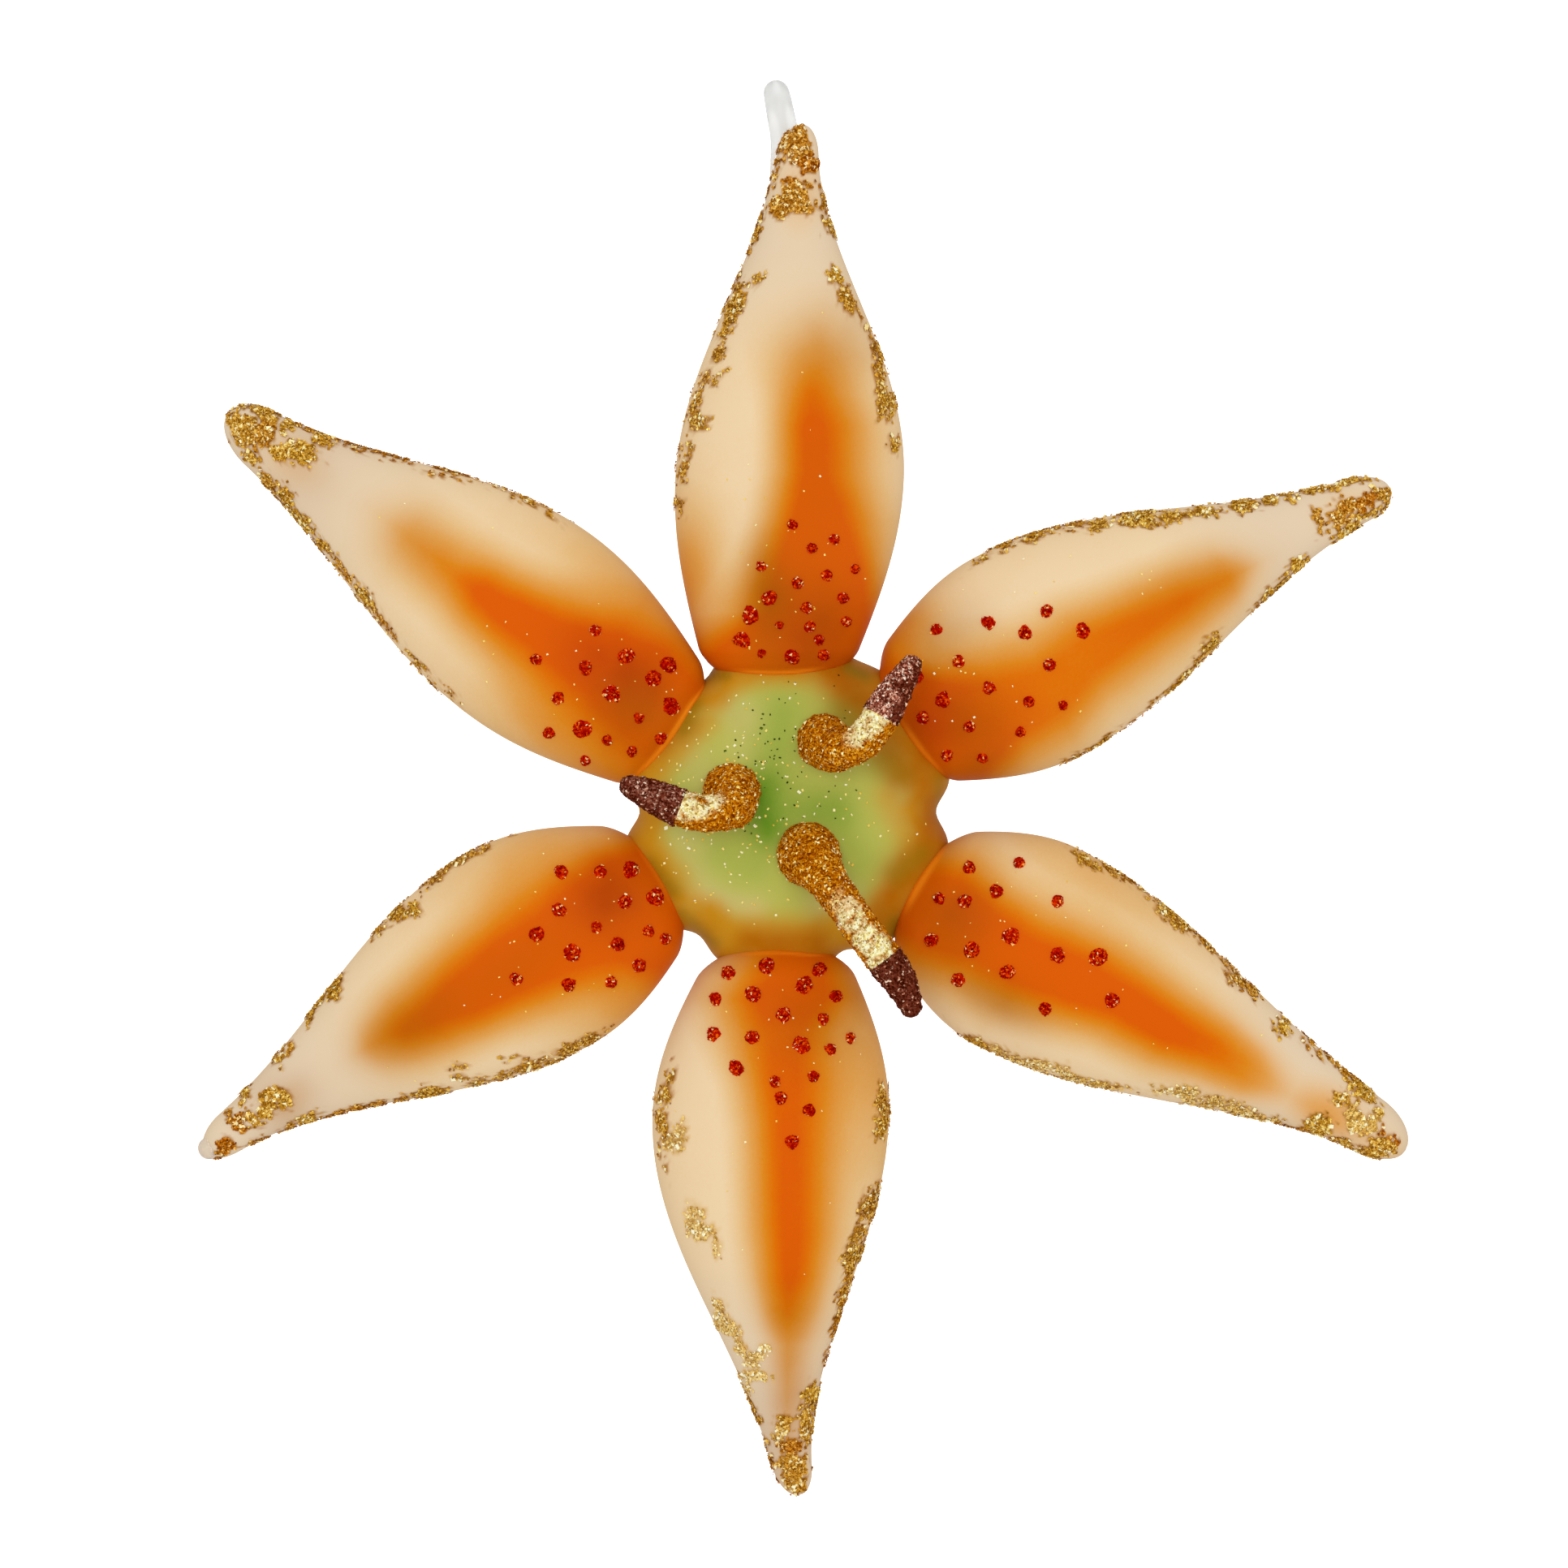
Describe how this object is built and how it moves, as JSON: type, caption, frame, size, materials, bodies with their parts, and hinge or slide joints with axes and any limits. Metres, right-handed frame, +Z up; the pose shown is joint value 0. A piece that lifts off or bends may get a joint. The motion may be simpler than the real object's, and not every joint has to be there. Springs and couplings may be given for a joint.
{
  "type": "blown-glass tiger lily ornament",
  "caption": "Hanging blown-glass tiger lily: hollow spotted petals round a hollow hub, with glittered stamens and a glass hook at the top.",
  "frame": {"origin": "inside top of the hook's bend, where the ornament hangs", "axes": "+Z up along the flower from its bottom petal to its hook, the flower's front faces -Y, +X to the right seen from the front"},
  "size_m": [0.1042, 0.0283, 0.123],
  "materials": {
    "petal_glass": "satin milky glass painted cream, with an orange stripe and copper glitter spots",
    "hub_glass": "satin milky glass painted yellow-green, orange at the rim",
    "gold_glitter": "solid glass rod coated in gold and copper glitter",
    "plum_glitter": "solid glass rod coated in plum-brown glitter",
    "clear_glass": "clear drawn glass"
  },
  "bodies": {
    "root": {"hub": "hub_glass", "petal_top": "petal_glass", "petal_upper_right": "petal_glass", "petal_lower_right": "petal_glass", "petal_bottom": "petal_glass", "petal_lower_left": "petal_glass", "petal_upper_left": "petal_glass", "filament_upper_right": "gold_glitter", "anther_upper_right": "plum_glitter", "filament_left": "gold_glitter", "anther_left": "plum_glitter", "filament_bottom": "gold_glitter", "anther_bottom": "plum_glitter", "hook": "clear_glass"}
  },
  "joints": []
}
